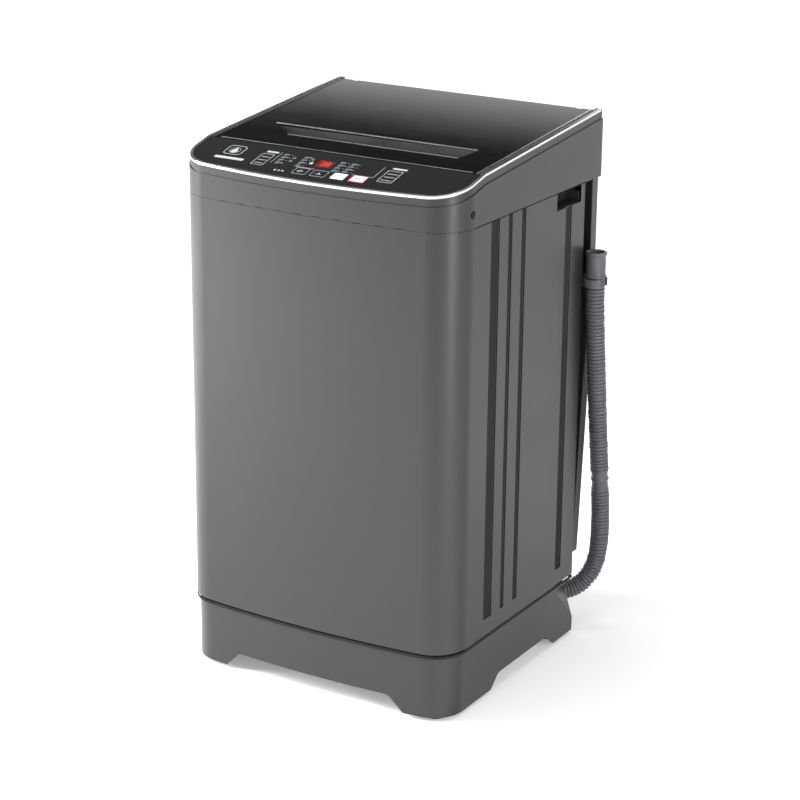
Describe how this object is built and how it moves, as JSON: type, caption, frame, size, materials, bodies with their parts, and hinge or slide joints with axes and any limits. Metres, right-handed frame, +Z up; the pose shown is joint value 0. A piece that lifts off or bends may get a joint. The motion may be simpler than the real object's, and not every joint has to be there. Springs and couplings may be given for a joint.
{
  "type": "top load washing machine",
  "caption": "Top load washing machine: bowed dark grey steel cabinet, sloped gloss lid and key panel, sprung tub with spinning basket and pulsator, belt drive, corrugated drain hose.",
  "frame": {"origin": "on the floor under the middle of the cabinet's box", "axes": "+Z up, the key panel faces -Y, +X to the right of the cabinet seen from above with the panel at the bottom"},
  "size_m": [0.5322, 0.518, 0.8954],
  "materials": {
    "painted_steel": "dark metallic grey coat on steel sheet",
    "dark_plastic": "black moulded ABS",
    "galvanised_steel": "zinc coated pressed steel",
    "steel_rod": "ground steel",
    "white_plastic": "white moulded polypropylene",
    "spring_steel": "oiled spring wire",
    "grey_plastic": "grey moulded polypropylene",
    "rubber": "black rubber",
    "cover_plastic": "metallic grey painted ABS",
    "screw_steel": "zinc plated screw",
    "bright_trim": "bright plated trim",
    "gloss_panel": "black gloss film panel",
    "display_lens": "smoked lens over a red display",
    "circuit_board": "glass fibre circuit board",
    "key_plastic": "translucent key",
    "key_dark": "black key",
    "gloss_lid": "black gloss ABS",
    "valve_plastic": "glass filled nylon",
    "tube_rubber": "grey elastomer",
    "tub_plastic": "light grey polypropylene",
    "cast_aluminium": "die cast aluminium",
    "bearing_steel": "bearing steel",
    "belt_rubber": "reinforced belt rubber",
    "motor_enamel": "enamelled motor can",
    "rotor_steel": "laminated steel",
    "hose_plastic": "grey corrugated polyethylene",
    "stainless_steel": "brushed stainless steel",
    "filter_plastic": "pale blue polypropylene",
    "pulsator_plastic": "grey moulded polypropylene"
  },
  "bodies": {
    "cabinet": {"cabinet_shell": "painted_steel", "grip_pockets": "dark_plastic", "corner_brackets": "galvanised_steel", "suspension_rods": "steel_rod", "rod_seats": "white_plastic", "spring_cups": "white_plastic", "suspension_springs": "spring_steel", "base_frame": "grey_plastic", "rubber_feet": "rubber", "top_cover": "cover_plastic", "case_screws": "screw_steel", "panel_trim": "bright_trim", "control_panel": "gloss_panel", "display_window": "display_lens", "control_board": "circuit_board", "rear_cover": "grey_plastic", "cable_gland": "rubber", "inlet_valve": "valve_plastic", "water_chute": "white_plastic", "level_sensor": "white_plastic", "pressure_tube": "tube_rubber", "drain_bellows": "tube_rubber", "drain_outlet": "hose_plastic", "drain_hose": "hose_plastic", "hose_cuff": "hose_plastic", "hose_clip": "dark_plastic"},
    "levelling_foot": {"levelling_foot": "rubber"},
    "power_key": {"power_button": "key_plastic"},
    "start_key": {"start_button": "key_plastic"},
    "program_key": {"program_button": "key_dark"},
    "level_key": {"level_button": "key_dark"},
    "lid": {"lid_panel": "gloss_lid", "lid_frame": "dark_plastic", "lid_trims": "bright_trim", "hinge_pins": "steel_rod"},
    "tub": {"outer_tub": "tub_plastic", "spring_seats": "rubber", "tub_ring": "tub_plastic", "tub_seal": "rubber", "chassis_plate": "galvanised_steel", "clutch_housing": "cast_aluminium", "bearings": "bearing_steel", "drive_belt": "belt_rubber", "motor_housing": "motor_enamel", "drain_valve": "valve_plastic", "drain_actuator": "valve_plastic"},
    "pulley": {"input_shaft": "steel_rod", "clutch_pulley": "cast_aluminium"},
    "motor": {"motor_rotor": "rotor_steel", "motor_pulley": "steel_rod"},
    "plunger": {"valve_plunger": "rubber"},
    "basket": {"basket_drum": "stainless_steel", "balance_ring": "white_plastic", "basket_base": "tub_plastic", "basket_hub": "cast_aluminium", "spin_tube": "steel_rod"},
    "filter": {"lint_filter": "filter_plastic"},
    "pulsator": {"pulsator": "pulsator_plastic", "pulsator_cap": "pulsator_plastic", "agitator_shaft": "steel_rod"}
  },
  "joints": [
    {"name": "lid_hinge", "type": "hinge", "parent": "cabinet", "child": "lid", "pos_m": [0, 0.228, 0.88489], "axis": [-1, 0, 0], "range_deg": [0, 95]},
    {"name": "power_press", "type": "slide", "parent": "cabinet", "child": "power_key", "axis": [0, 0.2425, -0.9701], "range_m": [0, 0.0012], "stiffness_N_per_m": 900, "springref_m": -0.0006},
    {"name": "start_press", "type": "slide", "parent": "cabinet", "child": "start_key", "axis": [0, 0.2425, -0.9701], "range_m": [0, 0.0012], "stiffness_N_per_m": 900, "springref_m": -0.0006},
    {"name": "program_press", "type": "slide", "parent": "cabinet", "child": "program_key", "axis": [0, 0.2425, -0.9701], "range_m": [0, 0.0012], "stiffness_N_per_m": 900, "springref_m": -0.0006},
    {"name": "level_press", "type": "slide", "parent": "cabinet", "child": "level_key", "axis": [0, 0.2425, -0.9701], "range_m": [0, 0.0012], "stiffness_N_per_m": 900, "springref_m": -0.0006},
    {"name": "foot_screw", "type": "slide", "parent": "cabinet", "child": "levelling_foot", "axis": [0, 0, 1], "range_m": [-0.01, 0]},
    {"name": "tub_bounce", "type": "slide", "parent": "cabinet", "child": "tub", "axis": [0, 0, 1], "range_m": [-0.03, 0.015], "stiffness_N_per_m": 12000, "springref_m": 0.01904, "deforming": ["suspension_springs", "drain_bellows", "pressure_tube"]},
    {"name": "pulley_spin", "type": "hinge", "parent": "tub", "child": "pulley", "pos_m": [0, -0.01, 0.108], "axis": [0, 0, 1], "continuous": true},
    {"name": "motor_spin", "type": "hinge", "parent": "tub", "child": "motor", "pos_m": [-0.125, -0.06, 0.108], "axis": [0, 0, 1], "continuous": true},
    {"name": "valve_lift", "type": "slide", "parent": "tub", "child": "plunger", "axis": [0, 0, 1], "range_m": [0, 0.006], "stiffness_N_per_m": 400, "springref_m": -0.004},
    {"name": "basket_spin", "type": "hinge", "parent": "tub", "child": "basket", "pos_m": [0, -0.01, 0.285], "axis": [0, 0, 1], "continuous": true},
    {"name": "filter_pull", "type": "slide", "parent": "basket", "child": "filter", "axis": [0, 0, 1], "range_m": [0, 0.025]},
    {"name": "pulsator_spin", "type": "hinge", "parent": "basket", "child": "pulsator", "pos_m": [0, -0.01, 0.303], "axis": [0, 0, 1], "continuous": true}
  ],
  "couplings": [
    {"joint": "motor_spin", "follows": "pulley_spin", "ratio": 3.2692},
    {"joint": "pulsator_spin", "follows": "pulley_spin", "ratio": 0.25}
  ]
}
